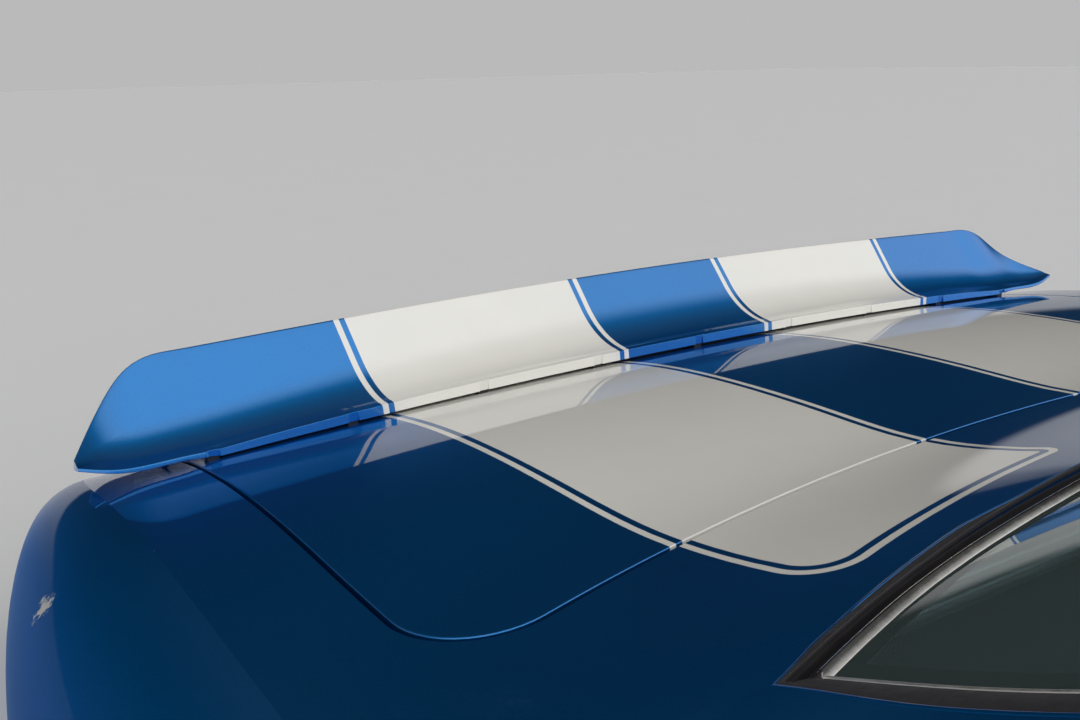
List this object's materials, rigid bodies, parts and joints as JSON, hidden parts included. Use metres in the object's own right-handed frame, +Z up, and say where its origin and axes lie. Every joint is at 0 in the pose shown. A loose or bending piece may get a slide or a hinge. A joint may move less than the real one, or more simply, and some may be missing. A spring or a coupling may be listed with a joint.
{
  "type": "car rear deck section",
  "caption": "Rear deck section of a two-door muscle car, with a hinged boot lid, a full-width rear spoiler and the rear window.",
  "frame": {"origin": "middle of the section's foot, on the floor", "axes": "+X to the car's right, +Y forward, +Z up"},
  "size_m": [1.8841, 1.445, 0.6179],
  "materials": {
    "body_paint": "gloss",
    "frame_paint": "satin",
    "black_paint": "satin",
    "spoiler_paint": "gloss",
    "bright_metal": "polished",
    "steel": "satin",
    "rubber": "matte",
    "window_glass": "clear",
    "lamp_red": "gloss",
    "shelf_board": "matte"
  },
  "bodies": {
    "shell": {"quarter_right": "body_paint", "quarter_left": "body_paint", "sail_right": "body_paint", "sail_left": "body_paint", "roof_panel": "body_paint", "deck_panel": "body_paint", "tail_panel": "body_paint", "gutter": "frame_paint", "weatherstrip": "rubber", "lid_bumpers": "rubber", "hinge_bracket_right": "frame_paint", "hinge_bracket_left": "frame_paint", "torsion_rods": "steel", "striker": "steel", "window_channel": "black_paint", "rear_window": "window_glass", "moulding_lower": "bright_metal", "moulding_upper": "bright_metal", "moulding_right": "bright_metal", "moulding_left": "bright_metal", "package_shelf": "shelf_board", "seat_bulkhead": "black_paint", "bulkhead_sill": "black_paint", "bulkhead_posts": "black_paint", "wheelhouse_right": "black_paint", "wheelhouse_left": "black_paint", "lamp_bezel_right": "bright_metal", "lamp_bezel_left": "bright_metal", "tail_lamp_right": "lamp_red", "tail_lamp_left": "lamp_red", "lamp_housing_right": "black_paint", "lamp_housing_left": "black_paint"},
    "lid": {"lid_skin": "body_paint", "lid_frame": "frame_paint", "hinge_arm_right": "frame_paint", "hinge_arm_left": "frame_paint", "latch": "steel", "spoiler": "spoiler_paint", "spoiler_strip": "spoiler_paint", "spoiler_pads": "rubber"}
  },
  "joints": [
    {"name": "lid_hinge", "type": "hinge", "parent": "shell", "child": "lid", "pos_m": [0, 0.0825, 0.255], "axis": [-1, 0, 0], "range_deg": [0, 55]}
  ]
}
